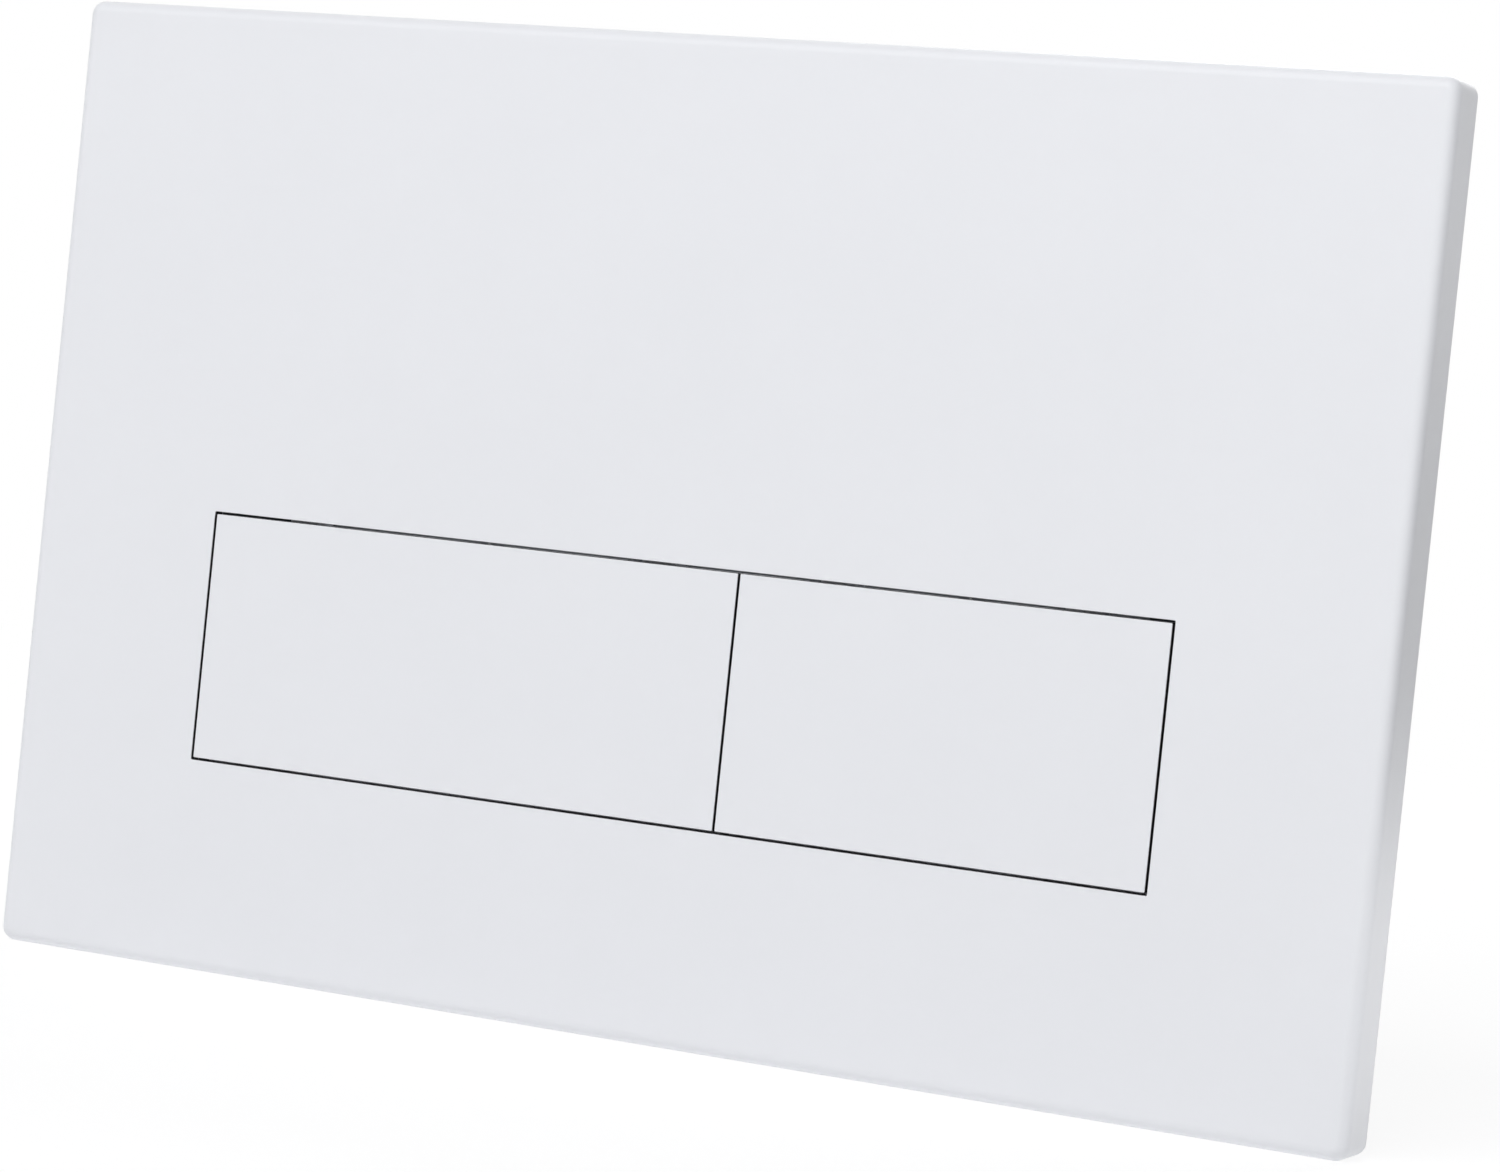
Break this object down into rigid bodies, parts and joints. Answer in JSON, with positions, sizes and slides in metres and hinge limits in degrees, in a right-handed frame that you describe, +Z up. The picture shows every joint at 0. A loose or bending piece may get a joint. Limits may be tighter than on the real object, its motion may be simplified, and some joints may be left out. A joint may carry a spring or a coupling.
{
  "type": "flush button plate",
  "caption": "Flat white rectangular flush plate for a concealed cistern, with flush-set full and half flush buttons, push rods and a mounting frame.",
  "frame": {"origin": "centre of the plate on the wall plane, where its rim and the frame's flange meet the wall", "axes": "+X to the viewer's right along the plate's width, +Y into the wall, +Z up"},
  "size_m": [0.247, 0.068, 0.165],
  "materials": {
    "white_plastic": "smooth satin-gloss white moulding",
    "frame_plastic": "plain moulded, mid grey",
    "rod_plastic": "plain moulded, natural white",
    "nut_plastic": "plain moulded, dark grey",
    "steel": "zinc plated",
    "spring_steel": "drawn wire",
    "rubber": "soft black pads"
  },
  "bodies": {
    "plate": {"cover_plate": "white_plastic", "mounting_frame": "frame_plastic", "full_flush_hinge_pin": "steel", "full_flush_return_spring": "spring_steel", "full_flush_stop_pads": "rubber", "half_flush_hinge_pin": "steel", "half_flush_return_spring": "spring_steel", "half_flush_stop_pads": "rubber", "left_fixing_stud": "steel", "left_thumb_nut": "nut_plastic", "left_stud_washer": "steel", "right_fixing_stud": "steel", "right_thumb_nut": "nut_plastic", "right_stud_washer": "steel"},
    "full_button": {"full_flush_button": "white_plastic"},
    "half_button": {"half_flush_button": "white_plastic"},
    "full_rod": {"full_flush_push_rod": "rod_plastic", "full_flush_rod_cap": "rod_plastic", "full_flush_rod_clip": "steel"},
    "half_rod": {"half_flush_push_rod": "rod_plastic", "half_flush_rod_cap": "rod_plastic", "half_flush_rod_clip": "steel"}
  },
  "joints": [
    {"name": "full_flush_press", "type": "hinge", "parent": "plate", "child": "full_button", "pos_m": [0, -0.005, 0.00025], "axis": [1, 0, 0], "range_deg": [0, 7], "stiffness_Nm_per_rad": 0.06, "springref_deg": -57.3, "deforming": ["full_flush_return_spring"]},
    {"name": "full_flush_rod_slide", "type": "slide", "parent": "plate", "child": "full_rod", "axis": [0, 1, 0], "range_m": [0, 0.0045]},
    {"name": "half_flush_press", "type": "hinge", "parent": "plate", "child": "half_button", "pos_m": [0, -0.005, 0.00025], "axis": [1, 0, 0], "range_deg": [0, 7], "stiffness_Nm_per_rad": 0.06, "springref_deg": -57.3, "deforming": ["half_flush_return_spring"]},
    {"name": "half_flush_rod_slide", "type": "slide", "parent": "plate", "child": "half_rod", "axis": [0, 1, 0], "range_m": [0, 0.0045]}
  ],
  "couplings": [
    {"joint": "full_flush_rod_slide", "follows": "full_flush_press", "m_per_rad": 0.03625},
    {"joint": "half_flush_rod_slide", "follows": "half_flush_press", "m_per_rad": 0.03625}
  ]
}
